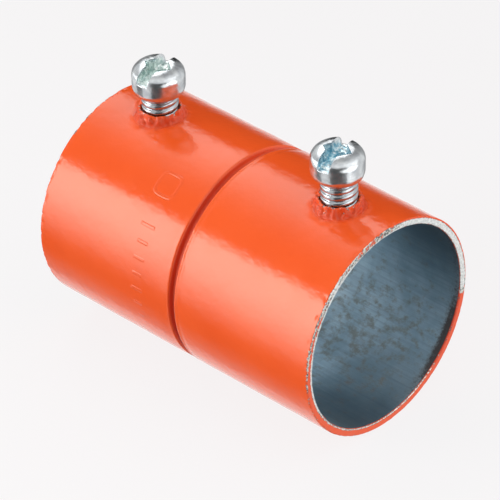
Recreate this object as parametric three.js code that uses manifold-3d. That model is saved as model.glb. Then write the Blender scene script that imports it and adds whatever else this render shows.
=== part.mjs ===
// Set-screw coupling for 1-inch thin-wall steel conduit (EMT).
//
// A painted steel sleeve lies along X with its two clamping screws pointing up (+Z). Each end is a
// socket for one conduit. A groove rolled round the middle raises a bead inside, which both conduits
// stop against. The wall is drawn up into a collar round each screw hole. Units are millimetres. The
// origin is on the floor under the middle of the sleeve.

import * as THREE from 'three';
import { mergeVertices } from 'three/addons/utils/BufferGeometryUtils.js';
import Module from 'manifold-3d';

const wasm = await Module();
wasm.setup();

// Sleeve
const SLEEVE_LENGTH = 50;
const SLEEVE_RADIUS = 16.1;
const WALL = 1.15;
const EDGE_BREAK = 0.2;
const GROOVE_WIDTH = 1.8;
const GROOVE_DEPTH = 0.85;
const BEAD_WIDTH = 3.4;
const SLEEVE_FACETS = 72;

// Collars round the screw holes
const SCREW_FROM_END = 8.45;
const COLLAR_RISE = 1.65;
const COLLAR_NECK = 0.35;
const COLLAR_TOP_RADIUS = 3.3;
const COLLAR_BASE_RADIUS = 4.7;
const COLLAR_BASE_DROP = 0.8;
const HOLE_RADIUS = 2.7;

// Set screws: heights are measured from the underside of the head. A crown fullness of 1 would be a
// plain ellipse, and a lower one is flatter on top and squarer at the shoulder.
const HEAD_RADIUS = 3.72;
const HEAD_HEIGHT = 4.35;
const HEAD_SEAT_RADIUS = 2.75;
const HEAD_SIDE_LOW = 1.3;
const HEAD_SIDE_HIGH = 2.8;
const THREAD_RADIUS = 2.57;
const THREAD_PITCH = 1;
const THREAD_DEPTH = 0.3;
const SHANK_LENGTH = 5.7;
const TIP_CHAMFER = 0.5;
const CROWN_FULLNESS = 0.48;
const SCREW_FACETS = 32;

// Driver recess: a slot right across, through two corners of a square well in the middle
const SLOT_WIDTH = 1.9;
const SLOT_DEPTH = 1.9;
const SQUARE_SIDE = 3.1;
const SQUARE_DEPTH = 2.5;
const SQUARE_TURN = THREE.MathUtils.degToRad(45);

// How far each screw stands out: the gap from its head's underside to the top of its collar
const LEFT_SCREW_GAP = 2.1;
const RIGHT_SCREW_GAP = 3.1;
const LEFT_SLOT_TURN = THREE.MathUtils.degToRad(100);
const RIGHT_SLOT_TURN = THREE.MathUtils.degToRad(104);

const BORE_RADIUS = SLEEVE_RADIUS - WALL;
const AXIS_HEIGHT = SLEEVE_RADIUS * Math.cos(Math.PI / SLEEVE_FACETS);
const SCREW_X = SLEEVE_LENGTH / 2 - SCREW_FROM_END;
const CURVE_STEPS = 8;
const OVERRUN = 2;
const WELD_DISTANCE = 1e-4;

// A closed solid, from a geometry whose seam and poles still hold repeated vertices.
function solidFrom(geometry) {
  geometry.deleteAttribute('normal');
  geometry.deleteAttribute('uv');
  const welded = mergeVertices(geometry, WELD_DISTANCE);
  const corners = welded.index.array;
  const kept = [];
  for (let i = 0; i < corners.length; i += 3) {
    const [a, b, c] = corners.slice(i, i + 3);
    if (a !== b && b !== c && c !== a) kept.push(a, b, c);
  }
  const vertProperties = new Float32Array(welded.attributes.position.array);
  const triVerts = new Uint32Array(kept);
  return new wasm.Manifold(new wasm.Mesh({ numProp: 3, vertProperties, triVerts }));
}

function geometryFrom(solid) {
  const mesh = solid.getMesh();
  const geometry = new THREE.BufferGeometry();
  geometry.setAttribute('position', new THREE.BufferAttribute(mesh.vertProperties, 3));
  geometry.setIndex(new THREE.BufferAttribute(mesh.triVerts, 1));
  geometry.computeVertexNormals();
  return geometry;
}

// A solid of revolution about X. Its facets are turned so that one lies flat at the bottom.
function turnedAboutX(outline, facets) {
  const geometry = new THREE.LatheGeometry(outline, facets, Math.PI / facets);
  geometry.rotateZ(-Math.PI / 2);
  return solidFrom(geometry);
}

// A solid of revolution about Z.
function turnedAboutZ(outline, facets) {
  const geometry = new THREE.LatheGeometry(outline, facets);
  geometry.rotateX(Math.PI / 2);
  return solidFrom(geometry);
}

function boxAt(size, centreHeight, turn) {
  const geometry = new THREE.BoxGeometry(...size);
  geometry.rotateZ(turn);
  geometry.translate(0, 0, centreHeight);
  return solidFrom(geometry);
}

// Points of a smooth dip in a wall of the given radius, for the groove outside and the bead inside.
function dip(radius, width, depth) {
  const points = [];
  for (let i = 0; i <= CURVE_STEPS; i += 1) {
    const along = (i / CURVE_STEPS - 0.5) * width;
    const down = (depth / 2) * (1 + Math.cos((2 * Math.PI * along) / width));
    points.push(new THREE.Vector2(radius - down, along));
  }
  return points;
}

function sleeveBlank() {
  const end = SLEEVE_LENGTH / 2;
  return turnedAboutX([
    new THREE.Vector2(0, -end),
    new THREE.Vector2(SLEEVE_RADIUS - EDGE_BREAK, -end),
    new THREE.Vector2(SLEEVE_RADIUS, EDGE_BREAK - end),
    ...dip(SLEEVE_RADIUS, GROOVE_WIDTH, GROOVE_DEPTH),
    new THREE.Vector2(SLEEVE_RADIUS, end - EDGE_BREAK),
    new THREE.Vector2(SLEEVE_RADIUS - EDGE_BREAK, end),
    new THREE.Vector2(0, end),
  ], SLEEVE_FACETS);
}

function bore() {
  const end = SLEEVE_LENGTH / 2;
  const mouth = BORE_RADIUS + EDGE_BREAK;
  return turnedAboutX([
    new THREE.Vector2(0, -end - OVERRUN),
    new THREE.Vector2(mouth, -end - OVERRUN),
    new THREE.Vector2(mouth, -end),
    new THREE.Vector2(BORE_RADIUS, EDGE_BREAK - end),
    ...dip(BORE_RADIUS, BEAD_WIDTH, GROOVE_DEPTH),
    new THREE.Vector2(BORE_RADIUS, end - EDGE_BREAK),
    new THREE.Vector2(mouth, end),
    new THREE.Vector2(mouth, end + OVERRUN),
    new THREE.Vector2(0, end + OVERRUN),
  ], SLEEVE_FACETS);
}

function collar(x) {
  const top = SLEEVE_RADIUS + COLLAR_RISE;
  return turnedAboutZ([
    new THREE.Vector2(0, BORE_RADIUS - OVERRUN),
    new THREE.Vector2(COLLAR_BASE_RADIUS, BORE_RADIUS - OVERRUN),
    new THREE.Vector2(COLLAR_BASE_RADIUS, SLEEVE_RADIUS - COLLAR_BASE_DROP),
    new THREE.Vector2(COLLAR_TOP_RADIUS, top - COLLAR_NECK),
    new THREE.Vector2(COLLAR_TOP_RADIUS, top),
    new THREE.Vector2(0, top),
  ], SCREW_FACETS).translate([x, 0, 0]);
}

function screwHole(x) {
  const top = SLEEVE_RADIUS + COLLAR_RISE + OVERRUN;
  return turnedAboutZ([
    new THREE.Vector2(0, 0),
    new THREE.Vector2(HOLE_RADIUS, 0),
    new THREE.Vector2(HOLE_RADIUS, top),
    new THREE.Vector2(0, top),
  ], SCREW_FACETS).translate([x, 0, 0]);
}

function sleeve() {
  let solid = sleeveBlank();
  for (const x of [-SCREW_X, SCREW_X]) solid = solid.add(collar(x));
  solid = solid.subtract(bore());
  for (const x of [-SCREW_X, SCREW_X]) solid = solid.subtract(screwHole(x));
  return geometryFrom(solid);
}

// Tip, one ridge for each turn of the thread, rounded underside, straight side and a low crown.
function screwOutline() {
  const points = [
    new THREE.Vector2(0, -SHANK_LENGTH),
    new THREE.Vector2(THREAD_RADIUS - TIP_CHAMFER, -SHANK_LENGTH),
    new THREE.Vector2(THREAD_RADIUS, TIP_CHAMFER - SHANK_LENGTH),
  ];
  const root = THREAD_RADIUS - THREAD_DEPTH;
  for (let z = TIP_CHAMFER - SHANK_LENGTH; z + THREAD_PITCH < 0; z += THREAD_PITCH) {
    points.push(new THREE.Vector2(root, z + THREAD_PITCH / 2));
    points.push(new THREE.Vector2(THREAD_RADIUS, z + THREAD_PITCH));
  }
  points.push(new THREE.Vector2(THREAD_RADIUS, 0));
  for (let i = 0; i <= CURVE_STEPS; i += 1) {
    const turn = (i / CURVE_STEPS) * (Math.PI / 2);
    const radius = HEAD_SEAT_RADIUS + (HEAD_RADIUS - HEAD_SEAT_RADIUS) * Math.sin(turn);
    points.push(new THREE.Vector2(radius, HEAD_SIDE_LOW * (1 - Math.cos(turn))));
  }
  const crownHeight = HEAD_HEIGHT - HEAD_SIDE_HIGH;
  for (let i = 0; i < CURVE_STEPS; i += 1) {
    const turn = (i / CURVE_STEPS) * (Math.PI / 2);
    const radius = HEAD_RADIUS * Math.cos(turn) ** CROWN_FULLNESS;
    points.push(new THREE.Vector2(radius, HEAD_SIDE_HIGH + crownHeight * Math.sin(turn)));
  }
  points.push(new THREE.Vector2(0, HEAD_HEIGHT));
  return points;
}

// A cut of the given depth below the crown of the head, open above it.
function recessCut(length, width, depth, turn) {
  const height = depth + OVERRUN;
  return boxAt([length, width, height], HEAD_HEIGHT - depth + height / 2, turn);
}

function setScrew() {
  const slotLength = 2 * (HEAD_RADIUS + OVERRUN);
  const solid = turnedAboutZ(screwOutline(), SCREW_FACETS)
    .subtract(recessCut(slotLength, SLOT_WIDTH, SLOT_DEPTH, 0))
    .subtract(recessCut(SQUARE_SIDE, SQUARE_SIDE, SQUARE_DEPTH, SQUARE_TURN));
  return geometryFrom(solid);
}

function orangePaint() {
  return new THREE.MeshStandardMaterial({ color: 0xf2521e, roughness: 0.25, metalness: 0 });
}

function zincPlate() {
  return new THREE.MeshStandardMaterial({ color: 0xc3cad0, roughness: 0.3, metalness: 1 });
}

function addSetScrew(parent, name, x, gap, slotTurn) {
  const screw = new THREE.Mesh(setScrew(), zincPlate());
  screw.name = name;
  screw.position.set(x, 0, SLEEVE_RADIUS + COLLAR_RISE + gap);
  screw.rotation.z = slotTurn;
  parent.add(screw);
}

const group = new THREE.Group();
group.position.z = AXIS_HEIGHT;

const couplingSleeve = new THREE.Mesh(sleeve(), orangePaint());
couplingSleeve.name = 'coupling_sleeve';
group.add(couplingSleeve);

addSetScrew(group, 'left_set_screw', -SCREW_X, LEFT_SCREW_GAP, LEFT_SLOT_TURN);
addSetScrew(group, 'right_set_screw', SCREW_X, RIGHT_SCREW_GAP, RIGHT_SLOT_TURN);

export default group;
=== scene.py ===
# A set-screw coupling for steel conduit: a painted sleeve with two zinc-plated screws.
#
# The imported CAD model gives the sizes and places. Shapes are worked out here in millimetres, with
# heights measured from the floor, and turned into metres when each mesh is made.

import math

import bmesh
import bpy
import numpy as np
from mathutils import Matrix, Vector, noise


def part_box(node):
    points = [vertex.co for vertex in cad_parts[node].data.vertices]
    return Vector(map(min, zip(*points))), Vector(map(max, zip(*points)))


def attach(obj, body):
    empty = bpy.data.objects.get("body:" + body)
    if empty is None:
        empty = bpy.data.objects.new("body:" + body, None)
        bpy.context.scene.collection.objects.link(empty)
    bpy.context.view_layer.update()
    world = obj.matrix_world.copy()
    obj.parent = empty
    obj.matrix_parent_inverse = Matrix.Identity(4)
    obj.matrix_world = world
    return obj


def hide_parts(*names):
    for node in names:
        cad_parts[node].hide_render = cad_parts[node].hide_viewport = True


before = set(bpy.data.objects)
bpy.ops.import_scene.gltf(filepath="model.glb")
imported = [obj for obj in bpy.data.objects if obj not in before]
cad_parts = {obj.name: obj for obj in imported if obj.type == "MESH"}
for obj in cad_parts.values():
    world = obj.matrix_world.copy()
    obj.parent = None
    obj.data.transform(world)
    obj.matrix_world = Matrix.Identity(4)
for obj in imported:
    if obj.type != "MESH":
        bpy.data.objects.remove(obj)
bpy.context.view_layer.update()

MM = 0.001

# Material indices on the sleeve
PAINTED = 0
PLATED = 1

# Sleeve, from the CAD boxes
sleeve_low, sleeve_high = (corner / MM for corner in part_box("coupling_sleeve"))
HALF_LENGTH = (sleeve_high.x - sleeve_low.x) / 2
RADIUS = (sleeve_high.y - sleeve_low.y) / 2
AXIS_HEIGHT = sleeve_low.z + RADIUS
COLLAR_TOP = sleeve_high.z - AXIS_HEIGHT
WALL = 1.15
BORE_RADIUS = RADIUS - WALL
EDGE_ROUND = 0.14
GROOVE_DEPTH = 0.8
BEAD_WIDTH = 3.4
HOLE_RADIUS = 2.65
HOLE_FLARE = 0.25
WAVINESS = 0.012

# Collars: the crest and foot are distances from the hole's axis. The lip is torn into small jags on
# larger lumps, which lift it and spread it outwards.
COLLAR_CREST = 2.9
COLLAR_FOOT = 3.45
COLLAR_FILLET = 1.2
NECK_SHARE = 0.85
CREST_DROP = 0.2
CREST_ROUND = 0.25
JAG_SIZE = 0.7
JAG_LIFT = 0.32
JAG_SPREAD = 0.2
LUMP_SIZE = 1.5
LUMP_LIFT = 0.1
LUMP_SPREAD = 0.16

# Paint that has flaked from the ends
NICK_SIZE = 0.7
NICK_REACH = 0.8
NICK_DEPTH = 0.07
NICK_INSET = 0.05

# Screws: heights are measured from the underside of the head
HEAD_RADIUS = 3.72
HEAD_HEIGHT = 4.35
HEAD_SEAT_RADIUS = 2.75
HEAD_SIDE_LOW = 1.3
HEAD_SIDE_HIGH = 2.8
CROWN_FULLNESS = 0.46
CROWN_TILT = 0.055
THREAD_RADIUS = 2.57
THREAD_PITCH = 1.0
THREAD_DEPTH = 0.26
THREAD_GROOVE_WIDTH = 0.15
THREAD_CROWNING = 0.07
SHANK_LENGTH = 5.7
TIP_CHAMFER = 0.5
SLOT_FLOOR_WIDTH = 1.72
SLOT_MOUTH_WIDTH = 2.2
SLOT_DEPTH = 1.7
SLOT_OFFSET = 0.3
SQUARE_SIDE = 3.1
SQUARE_FLOOR_SIDE = 2.5
SQUARE_DEPTH = 2.5
HEAD_WAVINESS = 0.02
RECESS_ROUGHNESS = 0.07

# Faint marks on the left half: places are (x, distance round the sleeve from its top)
SQUARE_MARK = (-6.6, 9.4)
MARK_HALF = 1.7
BARS_X = -6.4
BARS_FROM = 14.4
BARS_TO = 31.2
BAR_SPACING = 2.4
MARK_HEIGHT = 0.045

# How finely the meshes are cut. A square block of the grid round each hole is replaced by rings.
ROUND_CELLS = 400
BORE_CELLS = 200
BLOCK_HALF = 7.0
GROOVE_ZONE = 2.6
HOLE_ROWS = 8
PAINTED_HOLE_SHARE = 0.3
END_ROWS = 5
SCREW_CELLS = 144
THREAD_ROWS = 72
SEAT_STEPS = 12
CROWN_STEPS = 24
VOXEL = 0.075
SPECK_VERTICES = 100

# Camera: angles in radians, distances in millimetres
CAMERA_TURN = math.radians(44.19)
CAMERA_RISE = math.radians(35.8)
CAMERA_ROLL = math.radians(-1.8)
CAMERA_DISTANCE = 549.9
AIM_RIGHT = 0.198
AIM_UP = -0.696
LENS = 288
SENSOR = 36

# Studio: brightness of each light, and the floor's size
TOP_BOX_LIGHT = 2.65
FRONT_BOX_LIGHT = 6.7
BETWEEN_LIGHT = 0.3
SPILL_LIGHT = 0.17
TABLE_LIGHT = 0.6
END_BOX_LIGHT = 1.4
OVERHEAD_LIGHT = 0.12
TENT_FRONT = 0.8
TENT_BACK = 0.35
PALE_TENT = 0.85
DARK_TENT = 0.1
SEEN_LIGHT = 0.9
FLOOR_GAP = 0.02
FLOOR_HALF = 3000

# Steps between the noise patterns of two seeds
SEED_STEPS = (17.3, 5.9, 11.1)


def screw_place(node):
    """(x, height of the head's underside) of a CAD screw, in millimetres."""
    low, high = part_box(node)
    return (low.x + high.x) / 2 / MM, low.z / MM + SHANK_LENGTH


SCREWS = {name: screw_place(name) for name in ("left_set_screw", "right_set_screw")}
HOLES = [x for x, _ in SCREWS.values()]


# ---------------------------------------------------------------- numbers


def smooth(start, end, value):
    """A smooth step from 0 at the start to 1 at the end. The end may be the lower of the two."""
    t = np.clip((value - start) / (end - start), 0, 1)
    return t * t * (3 - 2 * t)


def bell(centre, width, value):
    """1 at the centre, falling to nearly 0 at twice the width from it."""
    return np.exp(-(((value - centre) / width) ** 2))


def rough(points, size, seed, octaves=3):
    """Fractal noise from about -1 to 1 at each point. size is the width of its largest lumps."""
    shift = Vector([seed * step for step in SEED_STEPS])
    flat = points.reshape(-1, 3)
    values = [noise.fractal(Vector(p) / size + shift, 1.0, 2.0, octaves) for p in flat]
    return np.array(values).reshape(points.shape[:-1])


def turn_from(points):
    """Angle round the sleeve's axis, from straight up (0) towards -Y (positive), in degrees."""
    return np.degrees(np.arctan2(-points[..., 1], points[..., 2] - AXIS_HEIGHT))


def from_axis(points):
    """Distance from the sleeve's axis."""
    return np.hypot(points[:, 1], points[:, 2] - AXIS_HEIGHT)


def from_end(points):
    """Distance in from the nearer end of the sleeve."""
    return HALF_LENGTH - np.abs(points[:, 0])


# ---------------------------------------------------------------- mesh helpers


class Shell:
    """The points and faces of one mesh as it is put together, in millimetres."""

    def __init__(self):
        self.points = []
        self.faces = []
        self.face_materials = []
        self.count = 0

    def add(self, points):
        """Keeps the points and gives back their numbers, in an array of the same layout."""
        flat = np.asarray(points, float).reshape(-1, 3)
        numbers = np.arange(self.count, self.count + len(flat))
        self.points.append(flat)
        self.count += len(flat)
        return numbers.reshape(np.shape(points)[:-1])

    def face(self, corners, material):
        self.faces.append([int(c) for c in corners])
        self.face_materials.append(material)

    def strip(self, first, second, material):
        """Quads between two closed loops that have the same number of points."""
        for i in range(len(first)):
            j = (i + 1) % len(first)
            self.face((first[i], first[j], second[j], second[i]), material)

    def zip_loops(self, first, first_turns, second, second_turns, material):
        """Triangles between two closed loops that may differ in their number of points.

        The turns are each loop's angles in radians. Both loops run the same way round.
        """
        a, b = np.argsort(first_turns), np.argsort(second_turns)
        first, first_turns = first[a], first_turns[a]
        second, second_turns = second[b], second_turns[b]
        first_turns = np.append(first_turns, first_turns[0] + 2 * math.pi)
        second_turns = np.append(second_turns, second_turns[0] + 2 * math.pi)
        i = j = 0
        while i < len(first) or j < len(second):
            first_is_next = j >= len(second) or (
                i < len(first) and first_turns[i + 1] <= second_turns[j + 1])
            a0, a1 = first[i % len(first)], first[(i + 1) % len(first)]
            b0, b1 = second[j % len(second)], second[(j + 1) % len(second)]
            if first_is_next:
                self.face((a0, a1, b0), material)
                i += 1
            else:
                self.face((a0, b1, b0), material)
                j += 1

    def stacked(self):
        return np.concatenate(self.points)

    def build(self, name, materials, scale=MM):
        """The finished mesh object, closed, smooth and with its faces pointing out."""
        mesh = bpy.data.meshes.new(name)
        mesh.from_pydata((self.stacked() * scale).tolist(), [], self.faces)
        for material in materials:
            mesh.materials.append(material)
        mesh.polygons.foreach_set("material_index", self.face_materials)
        shape = bmesh.new()
        shape.from_mesh(mesh)
        bmesh.ops.recalc_face_normals(shape, faces=shape.faces)
        for face in shape.faces:
            face.smooth = True
        shape.to_mesh(mesh)
        shape.free()
        piece = bpy.data.objects.new(name, mesh)
        bpy.context.scene.collection.objects.link(piece)
        return piece


def keep_values(piece, name, values):
    """Stores one number for each vertex, for the material to read."""
    attribute = piece.data.attributes.new(name, "FLOAT", "POINT")
    attribute.data.foreach_set("value", np.asarray(values, np.float32))


def lines_between(stops):
    """Positions from the first stop to the last. Each later stop is (position, number of cells)."""
    lines = [np.array([stops[0]])]
    start = stops[0]
    for end, cells in stops[1:]:
        lines.append(np.linspace(start, end, cells + 1)[1:])
        start = end
    return np.concatenate(lines)


# ---------------------------------------------------------------- sleeve


def groove(x):
    """Depth of the rolled groove. Its left shoulder is soft, and its right lip is crisp."""
    walls = smooth(-0.62, -0.14, x) - smooth(0.52, 0.78, x)
    shoulder = 0.07 * bell(-0.7, 1.1, x) * (x < 0) + 0.05 * bell(1.3, 0.3, x) * (x > 0)
    return GROOVE_DEPTH * walls + shoulder


def bead(x):
    """Height of the bead that the groove raises in the bore."""
    inside = np.abs(x) < BEAD_WIDTH / 2
    return np.where(inside, GROOVE_DEPTH / 2 * (1 + np.cos(2 * math.pi * x / BEAD_WIDTH)), 0)


def on_cylinder(x, turn, radius):
    """Points round the sleeve's axis. turn is in radians, from straight up towards -Y."""
    x, turn, radius = np.broadcast_arrays(x, turn, radius)
    return np.stack([x, -radius * np.sin(turn), AXIS_HEIGHT + radius * np.cos(turn)], -1)


def from_hole(points):
    """Distance of each point from the axis of the nearer screw hole."""
    gaps = [np.hypot(points[..., 0] - x, points[..., 1]) for x in HOLES]
    above = points[..., 2] > AXIS_HEIGHT
    return np.where(above, np.minimum(*gaps), BLOCK_HALF * 2)


def draw_up_collars(points):
    """Lifts the wall round each hole into a narrow collar with a torn, crumbly lip."""
    away = from_hole(points)
    neck = 1 - smooth(COLLAR_CREST, COLLAR_FOOT, away)
    foot = 1 - smooth(COLLAR_CREST, COLLAR_FOOT + COLLAR_FILLET, away)
    lip = smooth(HOLE_RADIUS - 0.15, COLLAR_CREST, away)
    crest = AXIS_HEIGHT + COLLAR_TOP - CREST_DROP - CREST_ROUND * (1 - lip)
    lifted = points.copy()
    lifted[..., 2] += (NECK_SHARE * neck + (1 - NECK_SHARE) * foot) * (crest - points[..., 2])
    near = away < BLOCK_HALF
    spots = lifted[near]
    away = away[near]
    jags = rough(spots, JAG_SIZE, seed=3, octaves=2) * (1 - smooth(3.1, 3.7, away))
    lumps = rough(spots, LUMP_SIZE, seed=8) * (1 - smooth(3.4, 4.8, away))
    outwards = JAG_SPREAD * jags + LUMP_SPREAD * lumps
    spread = outwards * smooth(HOLE_RADIUS, COLLAR_CREST, away) / away
    centre = np.where(spots[:, 0] > 0, max(HOLES), min(HOLES))
    spots[:, 0] += (spots[:, 0] - centre) * spread
    spots[:, 1] *= 1 + spread
    spots[:, 2] += JAG_LIFT * jags + LUMP_LIFT * lumps
    lifted[near] = spots
    lifted[..., 2] = np.minimum(lifted[..., 2], AXIS_HEIGHT + COLLAR_TOP)
    return lifted


def outer_points(x, turn):
    """The painted outside: rolled tube, groove, collars and a slight waviness."""
    base = on_cylinder(x, turn, RADIUS)
    wavy = WAVINESS * rough(base, 6.0, seed=1, octaves=2) - WAVINESS
    return draw_up_collars(on_cylinder(x, turn, RADIUS - groove(x) + wavy))


def bore_points(x, turn):
    """The bare inside: smooth tube, bead, and a slight flare at each screw hole."""
    base = on_cylinder(x, turn, BORE_RADIUS)
    flare = HOLE_FLARE * (1 - smooth(HOLE_RADIUS, HOLE_RADIUS + 1.2, from_hole(base)))
    return on_cylinder(x, turn, BORE_RADIUS - bead(x) + flare)


def block_loop(grid, near_x, far_x, half_cells):
    """The numbers of the points round the square block that a screw hole stands in."""
    rows = np.arange(-half_cells, half_cells + 1)
    side_a = [grid[i, near_x] for i in rows]
    side_b = [grid[half_cells, j] for j in range(near_x + 1, far_x + 1)]
    side_c = [grid[i, far_x] for i in rows[::-1][1:]]
    side_d = [grid[-half_cells, j] for j in range(far_x - 1, near_x, -1)]
    return np.array(side_a + side_b + side_c + side_d)


def hole_patch(shell, outline, hole, surface, radius, shares, material):
    """Rings from the outline of a block in to the round hole. Gives the last ring and its angles.

    The shares run from 0 at the hole to 1 at the outline.
    """
    flat = shell.stacked()[outline][:, :2] - np.array([hole, 0])
    around = np.arctan2(flat[:, 1], flat[:, 0])
    circle = HOLE_RADIUS * np.stack([np.cos(around), np.sin(around)], -1)
    previous = outline
    for share in shares[::-1][1:]:
        spot = circle + (flat - circle) * share
        loop = shell.add(surface(spot[:, 0] + hole, np.arcsin(-spot[:, 1] / radius)))
        shell.strip(previous, loop, material)
        previous = loop
    return previous, around


def tube_with_holes(shell, lines, cells, surface, radius, shares, material):
    """A tube's surface with a round hole at each screw. Gives its end loops and its hole loops."""
    turns = np.arange(cells) * 2 * math.pi / cells
    half_cells = round(math.asin(BLOCK_HALF / radius) / (2 * math.pi) * cells)
    grid = shell.add(surface(lines[None, :], turns[:, None]))
    blocks = []
    for hole in HOLES:
        near_x = int(np.argmin(np.abs(lines - (hole - BLOCK_HALF))))
        far_x = int(np.argmin(np.abs(lines - (hole + BLOCK_HALF))))
        blocks.append((hole, near_x, far_x))
    for i in range(cells):
        row = i if i < cells / 2 else i - cells
        k = (i + 1) % cells
        for j in range(len(lines) - 1):
            in_block = any(near_x <= j < far_x for _, near_x, far_x in blocks)
            if in_block and -half_cells <= row < half_cells:
                continue
            shell.face((grid[i, j], grid[k, j], grid[k, j + 1], grid[i, j + 1]), material)
    holes = []
    for hole, near_x, far_x in blocks:
        outline = block_loop(grid, near_x, far_x, half_cells)
        holes.append(hole_patch(shell, outline, hole, surface, radius, shares, material))
    return (grid[:, 0], grid[:, -1], turns), holes


def join_ends(shell, outer_ends, bore_ends):
    """The flat end of the wall at each end of the sleeve, with rounded edges."""
    profile = []
    for angle in map(math.radians, (30, 60, 90)):
        radius = RADIUS - EDGE_ROUND * (1 - math.cos(angle))
        profile.append((radius, EDGE_ROUND * (1 - math.sin(angle))))
    for i in range(1, END_ROWS + 1):
        profile.append((RADIUS - EDGE_ROUND - (WALL - 2 * EDGE_ROUND) * i / END_ROWS, 0))
    inner_break = EDGE_ROUND * 0.3
    profile.append((BORE_RADIUS + inner_break, inner_break))
    for side, end in ((-1, 0), (1, 1)):
        previous = outer_ends[end]
        for radius, inset in profile:
            ring = on_cylinder(side * (HALF_LENGTH - inset), outer_ends[2], radius)
            loop = shell.add(ring)
            shell.strip(previous, loop, PAINTED)
            previous = loop
        shell.zip_loops(previous, outer_ends[2], bore_ends[end], bore_ends[2], PAINTED)


def join_holes(shell, outer_holes, bore_holes):
    """The wall of each screw hole, from the lip of its collar down to the bore."""
    for (top_loop, top_turns), (low_loop, low_turns) in zip(outer_holes, bore_holes):
        points = shell.stacked()
        top = points[top_loop]
        low_height = points[low_loop][:, 2].mean()
        previous = top_loop
        for share in np.arange(1, HOLE_ROWS) / HOLE_ROWS:
            row = top.copy()
            row[:, 2] += (low_height - top[:, 2]) * share
            loop = shell.add(row)
            shell.strip(previous, loop, PAINTED if share < PAINTED_HOLE_SHARE else PLATED)
            previous = loop
        shell.zip_loops(previous, top_turns, low_loop, low_turns, PLATED)


def chip_ends(points):
    """Lowers the surface a little where paint has flaked from the ends, and leaves it uneven."""
    near = from_end(points) < NICK_REACH
    spots = points[near]
    inset = from_end(spots)
    nicks = smooth(0.0, 0.35, rough(spots, NICK_SIZE, seed=21)) * (1 - smooth(0.2, NICK_REACH, inset))
    nicks *= 0.3 + 0.7 * bell(40, 70, turn_from(spots))
    away = from_axis(spots)
    shrink = 1 - NICK_DEPTH * nicks * smooth(BORE_RADIUS, RADIUS, away) / away
    spots[:, 1] *= shrink
    spots[:, 2] = AXIS_HEIGHT + (spots[:, 2] - AXIS_HEIGHT) * shrink
    spots[:, 0] -= np.sign(spots[:, 0]) * NICK_INSET * nicks * (inset < EDGE_ROUND)
    moved = points.copy()
    moved[near] = spots
    return moved


# The next functions say where each kind of wear, dirt and painted shade is, from 0 for none to 1 for
# the most. Most of their numbers are angles round the sleeve in degrees, or distances from an edge in
# millimetres.


def sooty_side(turn):
    """The lower back part of a rim, where soot hides its inner edge."""
    return smooth(205, 225, turn % 360) * (1 - smooth(262, 272, turn % 360))


def end_wear(points):
    """How much of the paint is gone from the cut ends and from the edges beside them."""
    turn = turn_from(points)
    away = from_axis(points)
    inset = from_end(points)
    seen = np.where(points[:, 0] > 0, turn, -turn)

    # The cut end: bare on top, with a bright line along its inner edge and paint left on its outer one
    top = smooth(-106, -94, seen) * (1 - 0.42 * smooth(-25, 12, seen)) * (1 - smooth(38, 62, seen))
    share = 0.1 + 0.85 * top + 0.3 * bell(60, 26, seen)
    inner_width = 0.27 + 0.18 * bell(70, 40, seen)
    inner_line = 1 - smooth(inner_width - 0.04, inner_width + 0.08, away - BORE_RADIUS)
    inner_share = 0.95 - 0.12 * smooth(95, 125, seen % 360) * (1 - smooth(262, 280, seen % 360))
    share = np.maximum(share, inner_share * inner_line * (1 - 0.45 * sooty_side(seen)))
    outer_line = smooth(RADIUS - 0.3, RADIUS - 0.16, away)
    share -= 0.9 * outer_line * smooth(-120, -60, seen) * (1 - smooth(-25, 5, seen))

    # Chips in the outer edge of the cut end, at the front and low down
    share += 0.33 * smooth(RADIUS - 0.5, RADIUS - 0.25, away) * bell(75, 32, turn)
    share += 0.3 * smooth(RADIUS - 0.3, RADIUS - 0.15, away) * bell(140, 45, turn)

    # Chips on the painted outside, just in from the cut end
    chipped_at = np.where(points[:, 0] > 0, 75, 30)
    edge_chips = 0.52 * bell(chipped_at, 50, turn) * (1 - smooth(0.1, 0.5, inset))

    on_end = 1 - smooth(0.02, 0.1, inset)
    return np.clip(share * on_end + edge_chips * (1 - on_end), 0, 1)


def paint_wear(points):
    """Wear at the ends, and round the torn lips of the collars."""
    lip = 1 - smooth(2.95, 3.4, from_hole(points))
    return np.maximum(end_wear(points), 0.4 * lip)


def painted_shade_and_soot(points):
    """Where the paint is darker: painted shade in the groove and round the collars, by the soot, and on
    the cut ends.
    """
    away = from_axis(points)
    turn = turn_from(points)
    # Painted shade: the groove is drawn darker, the most on its front half.
    in_groove = smooth(0.08, 0.5, (RADIUS - away) / GROOVE_DEPTH)
    in_groove *= np.abs(points[:, 0]) < GROOVE_ZONE
    in_groove *= 0.45 + 0.55 * smooth(-15, 30, turn)
    # Painted shade round the neck of each collar, just out from its torn lip.
    hole_gap = from_hole(points)
    fillet = 0.8 * smooth(2.85, 3.15, hole_gap) * (1 - smooth(3.2, 4.2, hole_gap))
    at_mouth = smooth(HALF_LENGTH - 0.3, HALF_LENGTH - 0.1, points[:, 0])
    inner_edge = 1 - smooth(BORE_RADIUS + 0.2, BORE_RADIUS + 0.7, away)
    sooty = sooty_side(turn) * at_mouth * inner_edge
    on_end = 0.45 * (1 - smooth(0.02, 0.1, from_end(points)))
    return np.maximum.reduce([in_groove, fillet, sooty, on_end])


def rust(points):
    """Speckles low down in the right half of the bore, towards the back."""
    turn = turn_from(points) % 360
    return bell(215, 42, turn) * smooth(0, 8, points[:, 0]) * (1 - smooth(19, 24, points[:, 0]))


def soot(points):
    """Dark residue just inside the right rim, most on its lower back side."""
    turn = turn_from(points) % 360
    depth = HALF_LENGTH - points[:, 0]
    band = np.maximum(bell(233, 34, turn), 0.45 * bell(300, 50, turn))
    return band * (1 - smooth(0.3, 2.1, depth))


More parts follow.
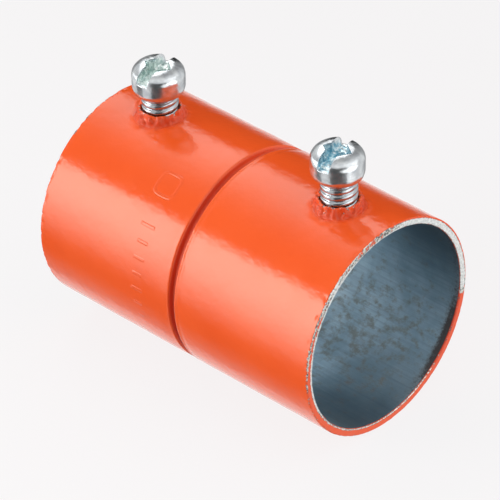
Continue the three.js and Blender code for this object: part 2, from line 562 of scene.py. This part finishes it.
def painted_bore_shade(points):
    """Painted shade in the bore: most at its mouths, at the upper back and along the bottom."""
    turn = turn_from(points) % 360
    depth = from_end(points)
    shaded_sides = np.maximum(0.9 * bell(300, 42, turn), 0.75 * bell(165, 40, turn))
    mouth = 1 - smooth(1, 21, depth)
    return np.clip(0.1 * mouth + shaded_sides * (1 - smooth(8, 18, depth)), 0, 1)


def make_sleeve():
    """The sleeve as one closed shell. Its material reads the wear, dirt and painted shade stored at
    each point.
    """
    shell = Shell()
    hole = max(HOLES)
    edge = HALF_LENGTH - EDGE_ROUND
    near, far = hole - BLOCK_HALF, hole + BLOCK_HALF
    outer_lines = lines_between([
        -edge, (-far, 8), (-near, 35), (-GROOVE_ZONE, 17), (GROOVE_ZONE, 40),
        (near, 17), (far, 35), (edge, 8),
    ])
    bore_lines = lines_between([
        -edge, (-far, 2), (-near, 12), (-BEAD_WIDTH / 2, 6), (BEAD_WIDTH / 2, 12),
        (near, 6), (far, 12), (edge, 2),
    ])
    collar_shares = lines_between([0, (0.055, 4), (0.2, 12), (1, 20)])
    bore_shares = lines_between([0, (0.3, 4), (1, 4)])
    outer_ends, outer_holes = tube_with_holes(
        shell, outer_lines, ROUND_CELLS, outer_points, RADIUS, collar_shares, PAINTED)
    bore_ends, bore_holes = tube_with_holes(
        shell, bore_lines, BORE_CELLS, bore_points, BORE_RADIUS, bore_shares, PLATED)
    join_ends(shell, outer_ends, bore_ends)
    join_holes(shell, outer_holes, bore_holes)
    shell.points = [chip_ends(shell.stacked())]
    piece = shell.build("painted_sleeve", [orange_paint(), bore_zinc()])
    points = shell.stacked()
    kinds = {"wear": paint_wear, "rust": rust, "soot": soot, "painted_bore_shade": painted_bore_shade, "painted_shade_and_soot": painted_shade_and_soot}
    for name, kind in kinds.items():
        keep_values(piece, name, kind(points))
    return piece


# ---------------------------------------------------------------- screws


def thread_radius(height, turn):
    """Radius of the rolled thread, whose grooves are narrow and whose crests are broad."""
    phase = (height / THREAD_PITCH - turn / (2 * math.pi)) % 1.0
    gap = (phase - 0.5) * THREAD_PITCH
    fade = smooth(-0.1, -0.5, height) * smooth(-SHANK_LENGTH, TIP_CHAMFER - SHANK_LENGTH, height)
    cut_in = THREAD_DEPTH * bell(0, THREAD_GROOVE_WIDTH, gap)
    crowning = THREAD_CROWNING * (1 - np.abs(gap) / (THREAD_PITCH / 2)) ** 2
    return THREAD_RADIUS - fade * (cut_in + crowning)


def head_outline():
    """(radius, height) from the seat of the head out to its side and over the crown to the middle."""
    outline = []
    for i in range(SEAT_STEPS + 1):
        turn = i / SEAT_STEPS * math.pi / 2
        radius = HEAD_SEAT_RADIUS + (HEAD_RADIUS - HEAD_SEAT_RADIUS) * math.sin(turn)
        outline.append((radius, HEAD_SIDE_LOW * (1 - math.cos(turn))))
    outline.append((HEAD_RADIUS, (HEAD_SIDE_LOW + HEAD_SIDE_HIGH) / 2))
    for i in range(CROWN_STEPS):
        turn = i / CROWN_STEPS * math.pi / 2
        radius = HEAD_RADIUS * math.cos(turn) ** CROWN_FULLNESS
        outline.append((radius, HEAD_SIDE_HIGH + (HEAD_HEIGHT - HEAD_SIDE_HIGH) * math.sin(turn)))
    outline.append((0.0, HEAD_HEIGHT))
    return np.array(outline)


def screw_blank():
    """The screw before its recess is cut, standing on the origin by the underside of its head."""
    shell = Shell()
    turns = np.arange(SCREW_CELLS) * 2 * math.pi / SCREW_CELLS
    ring = np.stack([np.cos(turns), np.sin(turns)], -1)

    def loop(radius, height):
        flat = ring * np.reshape(radius, (-1, 1))
        return shell.add(np.column_stack([flat, np.full(SCREW_CELLS, height)]))

    def middle(height):
        return shell.add(np.array([[0, 0, height]]))[0]

    def cap(centre, rim):
        for i in range(SCREW_CELLS):
            shell.face((centre, rim[i], rim[(i + 1) % SCREW_CELLS]), 0)

    heights = np.linspace(TIP_CHAMFER - SHANK_LENGTH, -0.05, THREAD_ROWS)
    rows = [(thread_radius(height, turns), height) for height in heights]
    rows += [(radius, height) for radius, height in head_outline()[:-1]]
    tip = middle(-SHANK_LENGTH)
    previous = loop(THREAD_RADIUS - TIP_CHAMFER, -SHANK_LENGTH)
    cap(tip, previous)
    for radius, height in rows:
        row = loop(radius, height)
        shell.strip(previous, row, 0)
        previous = row
    cap(middle(HEAD_HEIGHT), previous)
    return shell


def block(low_size, high_size, low, high, turn, offset):
    """A tapered block to cut with. Each size is (length, width), and turn is in degrees."""
    corners = []
    for (length, width), height in ((low_size, low), (high_size, high)):
        for x, y in ((-1, -1), (1, -1), (1, 1), (-1, 1)):
            corners.append((x * length / 2, y * width / 2 + offset, height))
    sides = [(i, (i + 1) % 4, (i + 1) % 4 + 4, i + 4) for i in range(4)]
    mesh = bpy.data.meshes.new("cutter")
    mesh.from_pydata(corners, [], [(3, 2, 1, 0), (4, 5, 6, 7)] + sides)
    mesh.transform(Matrix.Rotation(math.radians(turn), 4, "Z"))
    cutter = bpy.data.objects.new("cutter", mesh)
    bpy.context.scene.collection.objects.link(cutter)
    return cutter


def applied(piece):
    """Applies a piece's modifiers to its mesh."""
    bpy.context.view_layer.update()
    graph = bpy.context.evaluated_depsgraph_get()
    mesh = bpy.data.meshes.new_from_object(piece.evaluated_get(graph))
    piece.modifiers.clear()
    piece.data = mesh


def drop_specks(piece):
    """Removes the tiny stray shells that remeshing can leave in the thread."""
    shape = bmesh.new()
    shape.from_mesh(piece.data)
    unseen = set(shape.verts)
    specks = []
    while unseen:
        shell, front = [], [unseen.pop()]
        while front:
            vert = front.pop()
            shell.append(vert)
            for edge in vert.link_edges:
                other = edge.other_vert(vert)
                if other in unseen:
                    unseen.remove(other)
                    front.append(other)
        if len(shell) < SPECK_VERTICES:
            specks += shell
    bmesh.ops.delete(shape, geom=specks, context="VERTS")
    shape.to_mesh(piece.data)
    shape.free()


def cut(piece, cutter):
    """Cuts a block out of a piece, and removes the block."""
    modifier = piece.modifiers.new("cut", "BOOLEAN")
    modifier.operation = "DIFFERENCE"
    modifier.solver = "EXACT"
    modifier.object = cutter
    applied(piece)
    bpy.data.objects.remove(cutter)


def mesh_points(piece):
    points = np.empty(len(piece.data.vertices) * 3, np.float32)
    piece.data.vertices.foreach_get("co", points)
    return points.reshape(-1, 3).astype(float)


def outline_gap(points):
    """How far each point is from the head's outline, and the way to it as (radius, height)."""
    outline = head_outline()
    here = np.stack([np.hypot(points[:, 0], points[:, 1]), points[:, 2]], -1)
    best = np.full(len(here), 1e9)
    way = np.zeros_like(here)
    for start, end in zip(outline[:-1], outline[1:]):
        along = end - start
        share = np.clip(((here - start) @ along) / (along @ along), 0, 1)
        step = start + share[:, None] * along - here
        length = np.hypot(step[:, 0], step[:, 1])
        closer = length < best
        best[closer] = length[closer]
        way[closer] = step[closer]
    return best, way


def cut_recess(piece, slot_turn):
    """The slot right across the head, through two corners of the square well in its middle."""
    slot_length = 2 * HEAD_RADIUS + 1
    above = HEAD_HEIGHT + 1
    taper = (above - HEAD_HEIGHT) / SQUARE_DEPTH
    mouth_side = SQUARE_SIDE + (SQUARE_SIDE - SQUARE_FLOOR_SIDE) * taper
    cut(piece, block((slot_length, SLOT_FLOOR_WIDTH), (slot_length, SLOT_MOUTH_WIDTH),
                     HEAD_HEIGHT - SLOT_DEPTH, above, slot_turn, SLOT_OFFSET))
    cut(piece, block((SQUARE_FLOOR_SIDE, SQUARE_FLOOR_SIDE), (mouth_side, mouth_side),
                     HEAD_HEIGHT - SQUARE_DEPTH, above, slot_turn + 45, 0))


def soften(piece):
    """Remeshes a piece so that its edges are rounded."""
    remesh = piece.modifiers.new("soften", "REMESH")
    remesh.mode = "VOXEL"
    remesh.voxel_size = VOXEL
    ease = piece.modifiers.new("ease", "SMOOTH")
    ease.factor = 0.5
    ease.iterations = 5
    applied(piece)
    drop_specks(piece)


def make_screw(node, slot_turn, off_centre, green):
    """One set screw. slot_turn is in degrees, and green runs from 0 for a blue recess to 1.

    Its head stands off_centre to the left, as the camera sees it. Softening shrinks the head a little,
    so outside the recess its surface is drawn back to the outline.
    """
    x, seat = SCREWS[node]
    piece = screw_blank().build(node.replace("set_screw", "plated_screw"), [], scale=1)
    cut_recess(piece, slot_turn)
    soften(piece)
    points = mesh_points(piece)
    gap, way = outline_gap(points)
    on_head = points[:, 2] > -0.05
    recess = on_head * smooth(0.12, 0.6, gap)
    pull = on_head * (1 - smooth(0.05, 0.12, gap))
    away = np.maximum(np.hypot(points[:, 0], points[:, 1]), 0.01)
    points[:, :2] += (points[:, :2] / away[:, None]) * (way[:, 0] * pull)[:, None]
    points[:, 2] += way[:, 1] * pull
    points += HEAD_WAVINESS * (rough(points, 1.3, seed=len(node)) * on_head)[:, None]
    points += RECESS_ROUGHNESS * (rough(points, 0.6, seed=31) * recess)[:, None]
    backward = points[:, 1] * math.cos(CAMERA_TURN) - points[:, 0] * math.sin(CAMERA_TURN)
    points[:, 2] += CROWN_TILT * backward * smooth(HEAD_SIDE_HIGH, HEAD_HEIGHT, points[:, 2])
    leftward = -np.array([math.cos(CAMERA_TURN), math.sin(CAMERA_TURN)])
    points[:, :2] += off_centre * leftward * smooth(0.0, 0.8, points[:, 2])[:, None]
    # Painted shade: marks the shank under the head, which the material draws darker.
    painted_shank_shade = 1 - smooth(-0.1, 0.1, points[:, 2])
    points += np.array([x, 0, seat])
    piece.data.vertices.foreach_set("co", (points * MM).astype(np.float32).ravel())
    piece.data.polygons.foreach_set("use_smooth", [True] * len(piece.data.polygons))
    piece.data.update()
    keep_values(piece, "recess", recess)
    keep_values(piece, "green", recess * green)
    keep_values(piece, "painted_shank_shade", painted_shank_shade)
    piece.data.materials.append(screw_zinc())
    return piece


# ---------------------------------------------------------------- materials


class Graph:
    """Short ways to add shader nodes to one node tree and join them up."""

    def __init__(self, tree):
        self.tree = tree
        tree.nodes.clear()

    def add(self, kind, inputs=None, **settings):
        node = self.tree.nodes.new("ShaderNode" + kind)
        for name, value in settings.items():
            setattr(node, name, value)
        for name, value in (inputs or {}).items():
            self.put(node.inputs[name], value)
        return node

    def put(self, socket, value):
        if isinstance(value, bpy.types.NodeSocket):
            self.tree.links.new(value, socket)
        else:
            socket.default_value = value

    def math(self, operation, *values):
        node = self.add("Math", operation=operation)
        for socket, value in zip(node.inputs, values):
            self.put(socket, value)
        return node.outputs[0]

    def total(self, *values):
        result = values[0]
        for value in values[1:]:
            result = self.math("ADD", result, value)
        return result

    def times(self, *values):
        result = values[0]
        for value in values[1:]:
            result = self.math("MULTIPLY", result, value)
        return result

    def step(self, value, low, high, start=0.0, end=1.0):
        """start below low, end above high, and a smooth step between them."""
        node = self.add("MapRange", interpolation_type="SMOOTHSTEP")
        for name, part in zip(("Value", "From Min", "From Max", "To Min", "To Max"),
                              (value, low, high, start, end)):
            self.put(node.inputs[name], part)
        return node.outputs[0]

    def fall(self, value, low, high):
        """1 below low, 0 above high, and a smooth step between them."""
        return self.step(value, low, high, 1.0, 0.0)

    def band(self, value, low, full, fading, high):
        """0 below low and above high, and 1 from full to fading."""
        return self.times(self.step(value, low, full), self.fall(value, fading, high))

    def gap(self, first, second):
        """How far apart two numbers are."""
        return self.math("ABSOLUTE", self.math("SUBTRACT", first, second))

    def blend(self, share, first, second):
        """The first number where the share is 0, and the second where it is 1."""
        return self.math("MULTIPLY_ADD", share, self.math("SUBTRACT", second, first), first)

    def degrees(self, side, up):
        """The angle whose tangent is side / up, in degrees."""
        return self.times(self.math("ARCTAN2", side, up), math.degrees(1))

    def scaled(self, vector, factors):
        node = self.add("VectorMath", operation="MULTIPLY")
        self.put(node.inputs[0], vector)
        self.put(node.inputs[1], factors)
        return node.outputs[0]

    def noise(self, vector, size, detail=2.0, roughness=0.5):
        """Noise from 0 to 1. size is the width of its largest lumps, in millimetres."""
        node = self.add("TexNoise", {"Vector": vector, "Scale": 1 / (size * MM), "Detail": detail,
                                     "Roughness": roughness})
        return node.outputs["Fac"]

    def mix(self, share, first, second):
        """The first colour where the share is 0, and the second where it is 1."""
        node = self.add("Mix", data_type="RGBA")
        # Of a Mix node's pairs of inputs, 6 and 7 are the ones for colours
        for index, value in ((0, share), (6, first), (7, second)):
            self.put(node.inputs[index], value)
        return node.outputs[2]

    def place(self):
        return self.add("TexCoord").outputs["Object"]

    def stored(self, name):
        return self.add("Attribute", attribute_name=name).outputs["Fac"]

    def bump(self, height):
        """A normal from a height in millimetres."""
        return self.add("Bump", {"Height": height, "Distance": MM, "Strength": 1.0}).outputs[0]


def colour(red, green, blue):
    return (red, green, blue, 1.0)


def new_material(name):
    """A material with one Principled shader. Gives the material, its graph and its shader."""
    material = bpy.data.materials.new(name)
    material.use_nodes = True
    graph = Graph(material.node_tree)
    shader = graph.add("BsdfPrincipled")
    output = graph.add("OutputMaterial")
    graph.put(output.inputs["Surface"], shader.outputs[0])
    return material, graph, shader


def finish_shader(graph, shader, base, metallic, roughness, height):
    """Joins up what every material on the part sets. The height is its relief in millimetres."""
    graph.put(shader.inputs["Base Color"], base)
    graph.put(shader.inputs["Metallic"], metallic)
    graph.put(shader.inputs["Roughness"], roughness)
    graph.put(shader.inputs["Normal"], graph.bump(height))


def stamped_marks(graph, place):
    """Faint raised marks under the paint: a rounded square and a row of bars. 1 on a mark, else 0."""
    x, y, z = graph.add("SeparateXYZ", {0: place}).outputs
    along = graph.math("DIVIDE", x, MM)
    upward = graph.math("SUBTRACT", z, AXIS_HEIGHT * MM)
    arc = graph.times(graph.math("ARCTAN2", graph.times(y, -1.0), upward), RADIUS)
    corners = [graph.math("POWER", graph.gap(value, centre), 4.0)
               for value, centre in zip((along, arc), SQUARE_MARK)]
    reach = graph.math("POWER", graph.total(*corners), 0.25)
    square = graph.fall(graph.gap(reach, MARK_HALF), 0.1, 0.25)
    number = graph.math("FLOOR", graph.math("DIVIDE", arc, BAR_SPACING))
    chance = graph.add("TexWhiteNoise", {"W": number}, noise_dimensions="1D").outputs["Value"]
    beside = graph.gap(arc, graph.times(graph.math("ADD", number, 0.5), BAR_SPACING))
    half_bar = graph.math("MULTIPLY_ADD", chance, 0.9, 0.3)
    past_end = graph.math("SUBTRACT", graph.gap(along, BARS_X), half_bar)
    bar = graph.times(graph.fall(beside, 0.14, 0.28), graph.fall(past_end, 0.0, 0.15))
    in_row = graph.band(arc, BARS_FROM - 0.1, BARS_FROM, BARS_TO, BARS_TO + 0.1)
    return graph.math("MAXIMUM", square, graph.times(bar, in_row))


def orange_paint():
    """Gloss enamel with a slight orange peel, flaked to bare steel where it is worn, darkened by
    painted shade and soot.
    """
    material, graph, shader = new_material("orange_paint")
    place = graph.place()
    wear, shade_soot_share = graph.stored("wear"), graph.stored("painted_shade_and_soot")
    flakes = graph.noise(place, 0.55, 4.0, 0.65)
    worn = graph.math("MULTIPLY_ADD", wear, 0.75, -0.375)
    chip = graph.step(graph.total(flakes, worn), 0.49, 0.53)
    cloud = graph.step(graph.noise(place, 9.0, 3.0), 0.3, 0.7)
    fleck = graph.noise(place, 0.28, 2.0)
    enamel = graph.mix(cloud, colour(0.89, 0.099, 0.0155), colour(0.92, 0.108, 0.018))
    # Painted shade in the groove and round the collars, the soot and the cut ends turn the enamel dark
    # red.
    enamel = graph.mix(graph.times(shade_soot_share, 0.75), enamel, colour(0.56, 0.028, 0.006))
    clean = graph.mix(graph.step(fleck, 0.35, 0.65), colour(0.62, 0.64, 0.64), colour(0.80, 0.81, 0.80))
    dull = graph.mix(graph.step(fleck, 0.4, 0.6), colour(0.13, 0.14, 0.14), colour(0.66, 0.66, 0.62))
    steel = graph.mix(graph.step(wear, 0.65, 0.9), dull, clean)
    peel = graph.times(graph.noise(place, 1.6, 2.0), 0.05)
    fine = graph.times(graph.noise(place, 0.5, 2.0), 0.017)
    film = graph.times(chip, graph.math("MULTIPLY_ADD", fleck, 0.04, -0.06))
    shine = graph.step(graph.noise(place, 3.0, 3.0), 0.3, 0.7, 0.1, 0.17)
    roughness = graph.total(shine, graph.times(chip, 0.26), graph.times(shade_soot_share, 0.4))
    stamp = graph.times(stamped_marks(graph, place), MARK_HEIGHT)
    shader.inputs["Specular Tint"].default_value = colour(1.0, 0.95, 0.84)
    finish_shader(graph, shader, graph.mix(chip, enamel, steel), chip, roughness,
                  graph.total(peel, fine, film, stamp))
    return material


def screw_zinc():
    """Bright zinc plate, with blue-green passivate pooled in the recess and painted shade on the shank.
    """
    material, graph, shader = new_material("screw_zinc")
    place = graph.place()
    recess = graph.stored("recess")
    cloud = graph.step(graph.noise(place, 1.2, 3.0), 0.3, 0.7)
    plate = graph.mix(cloud, colour(0.58, 0.61, 0.64), colour(0.75, 0.78, 0.79))
    # Painted shade: the shank under the head is drawn darker than the head.
    plate = graph.mix(graph.times(graph.stored("painted_shank_shade"), 0.6), plate, colour(0.34, 0.37, 0.40))
    mottle = graph.step(graph.noise(place, 0.6, 4.0, 0.65), 0.4, 0.57)
    blue = graph.mix(mottle, colour(0.22, 0.48, 0.60), colour(0.88, 0.97, 0.99))
    green = graph.mix(mottle, colour(0.46, 0.59, 0.57), colour(0.92, 0.98, 0.95))
    film = graph.mix(graph.stored("green"), blue, green)
    base = graph.mix(recess, plate, film)
    shine = graph.step(graph.noise(place, 0.8, 3.0), 0.3, 0.7, 0.17, 0.27)
    roughness = graph.total(shine, graph.times(recess, 0.12))
    dents = graph.times(graph.noise(place, 0.9, 3.0), 0.02)
    finish_shader(graph, shader, base, 1.0, roughness, dents)
    return material


def bore_zinc():
    """Dull zinc inside the tube: lines from drawing, speckles of rust, a sooty edge and painted shade.
    """
    material, graph, shader = new_material("bore_zinc")
    place = graph.place()
    lines = graph.noise(graph.scaled(place, (0.03, 1.0, 1.0)), 0.35, 3.0, 0.6)
    cloud = graph.noise(place, 3.6, 4.0, 0.6)
    plate = graph.mix(graph.step(cloud, 0.3, 0.7), colour(0.48, 0.62, 0.70), colour(0.71, 0.84, 0.91))
    plate = graph.mix(graph.step(lines, 0.35, 0.75, 0.0, 0.5), plate, colour(0.33, 0.42, 0.50))
    # Painted shade darkens the plate at the mouths, at the upper back and along the bottom.
    plate = graph.mix(graph.stored("painted_bore_shade"), plate, colour(0.15, 0.20, 0.24))
    speckle = graph.noise(graph.scaled(place, (0.8, 1.0, 1.0)), 1.1, 5.0, 0.68)
    rusty = graph.math("MULTIPLY_ADD", graph.stored("rust"), 0.13, speckle)
    rusted = graph.step(rusty, 0.56, 0.80, 0.0, 0.62)
    base = graph.mix(rusted, plate, colour(0.27, 0.23, 0.17))
    patchy = graph.math("MULTIPLY_ADD", graph.noise(place, 0.45, 4.0, 0.7), 1.1, -0.55)
    dark = graph.step(graph.total(graph.stored("soot"), patchy), 0.1, 0.8, 0.0, 0.93)
    base = graph.mix(dark, base, colour(0.055, 0.035, 0.03))
    dull = graph.math("MAXIMUM", rusted, dark)
    metallic = graph.math("MULTIPLY_ADD", dull, -0.75, 0.85)
    roughness = graph.math("MULTIPLY_ADD", dull, 0.35, 0.42)
    height = graph.total(graph.times(lines, 0.015), graph.times(rusted, 0.02), graph.times(cloud, 0.01))
    finish_shader(graph, shader, base, metallic, roughness, height)
    return material


# ---------------------------------------------------------------- studio


def studio_world():
    """Soft studio light all round: two long soft boxes, in a pale tent that has one dark side.

    The soft boxes lie along the sleeve, so their light is set by the angle round the X axis.
    """
    world = bpy.data.worlds.new("studio")
    world.use_nodes = True
    bpy.context.scene.world = world
    graph = Graph(world.node_tree)
    x, y, z = graph.add("SeparateXYZ", {0: graph.add("TexCoord").outputs["Generated"]}).outputs
    around = graph.degrees(graph.times(y, -1.0), z)
    bearing = graph.degrees(y, x)

    # Light that runs along the sleeve, from the back over the top to the front and below
    top_box = graph.times(graph.band(around, -55, -42, -32, 27), TOP_BOX_LIGHT)
    front_box = graph.times(graph.band(around, 43, 55, 66, 134), FRONT_BOX_LIGHT)
    between = graph.times(graph.step(around, 0, 20), graph.step(around, 45, 60, BETWEEN_LIGHT, 0.0))
    back_wall = graph.step(around, -122, -92, 1.0, 0.02)
    table = graph.step(around, 134, 182, 0.0, TABLE_LIGHT)
    spill = graph.times(graph.step(around, 100, 118), graph.step(around, 132, 150, SPILL_LIGHT, 0.0))
    boxes = graph.total(top_box, front_box, between, back_wall, table, spill)

    # The tent: pale on the right and low at the front, with a dark side at the front right
    tent = graph.step(y, -0.3, 0.3, TENT_FRONT, TENT_BACK)
    front_low = graph.times(graph.fall(z, -0.1, 0.05), graph.fall(y, 0.0, 0.25))
    pale = graph.math("MAXIMUM", graph.step(x, -0.2, 0.3), front_low)
    tent = graph.blend(pale, tent, PALE_TENT)
    off_dark = graph.gap(bearing, -44.0)
    dark_side = graph.times(graph.fall(off_dark, 33, 40), graph.fall(z, 0.6, 0.85))
    tent = graph.blend(dark_side, tent, DARK_TENT)

    # The boxes take the tent's place on the left, and the top one shows faintly on the right too
    near_left = graph.math("MAXIMUM", graph.step(x, -0.79, -0.69), graph.step(z, -0.1, 0.1, 0.0, 0.2))
    left = graph.times(near_left, graph.fall(x, -0.45, -0.35))
    right = graph.band(x, 0.3, 0.4, 0.78, 0.9)
    end_box = graph.step(x, 0.78, 0.9, 0.0, END_BOX_LIGHT)
    overhead = graph.times(graph.step(z, 0.55, 0.85), graph.step(x, -0.34, -0.2), OVERHEAD_LIGHT)
    light = graph.blend(left, tent, boxes)
    light = graph.math("MULTIPLY_ADD", graph.times(top_box, 0.2), right, light)
    light = graph.total(light, end_box, overhead)

    seen = graph.add("LightPath").outputs["Is Camera Ray"]
    strength = graph.blend(seen, light, SEEN_LIGHT)
    background = graph.add("Background", {"Color": colour(1, 1, 1), "Strength": strength})
    output = graph.add("OutputWorld")
    graph.put(output.inputs["Surface"], background.outputs[0])


def pale_floor():
    """A plain floor that the camera sees. The light that a floor throws back is in the world."""
    mesh = bpy.data.meshes.new("floor")
    sides = ((-1, -1), (1, -1), (1, 1), (-1, 1))
    corners = [(x * FLOOR_HALF * MM, y * FLOOR_HALF * MM, -FLOOR_GAP * MM) for x, y in sides]
    mesh.from_pydata(corners, [], [(0, 1, 2, 3)])
    material, graph, shader = new_material("floor_white")
    across = graph.add("SeparateXYZ", {0: graph.place()}).outputs[1]
    shader.inputs["Base Color"].default_value = colour(0.07, 0.07, 0.07)
    shader.inputs["Roughness"].default_value = 1.0
    shader.inputs["Specular IOR Level"].default_value = 0.0
    shader.inputs["Emission Color"].default_value = colour(1.0, 0.985, 0.99)
    graph.put(shader.inputs["Emission Strength"], graph.step(across, -0.09, 0.1, 0.885, 0.84))
    mesh.materials.append(material)
    floor = bpy.data.objects.new("floor", mesh)
    bpy.context.scene.collection.objects.link(floor)
    floor.visible_diffuse = False
    floor.visible_glossy = False
    floor.visible_shadow = False


def add_camera():
    """A long lens, looking down on the right end of the sleeve from the front."""
    turn, rise, roll = CAMERA_TURN, CAMERA_RISE, CAMERA_ROLL
    flat = math.cos(rise)
    back = Vector((math.sin(turn) * flat, -math.cos(turn) * flat, math.sin(rise)))
    level = Vector((math.cos(turn), math.sin(turn), 0))
    upright = back.cross(level)
    right = level * math.cos(roll) + upright * math.sin(roll)
    up = upright * math.cos(roll) - level * math.sin(roll)
    place = Vector((0, 0, AXIS_HEIGHT)) + back * CAMERA_DISTANCE - right * AIM_RIGHT - up * AIM_UP
    data = bpy.data.cameras.new("camera")
    data.sensor_width = SENSOR
    data.lens = LENS
    data.clip_start = 0.01
    data.clip_end = 20
    camera = bpy.data.objects.new("camera", data)
    facing = Matrix((right, up, back)).transposed().to_4x4()
    camera.matrix_world = Matrix.Translation(place * MM) @ facing
    bpy.context.scene.collection.objects.link(camera)
    bpy.context.scene.camera = camera


# ---------------------------------------------------------------- assembly

bpy.context.scene.view_settings.view_transform = "Standard"
bpy.context.scene.view_settings.look = "None"
add_camera()
studio_world()
pale_floor()

sleeve = make_sleeve()
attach(sleeve, "sleeve")
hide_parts("coupling_sleeve")

left_screw = make_screw("left_set_screw", 100, 0.07, 1.0)
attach(left_screw, "left_screw")
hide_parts("left_set_screw")

right_screw = make_screw("right_set_screw", 104, 0.15, 0.0)
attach(right_screw, "right_screw")
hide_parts("right_set_screw")
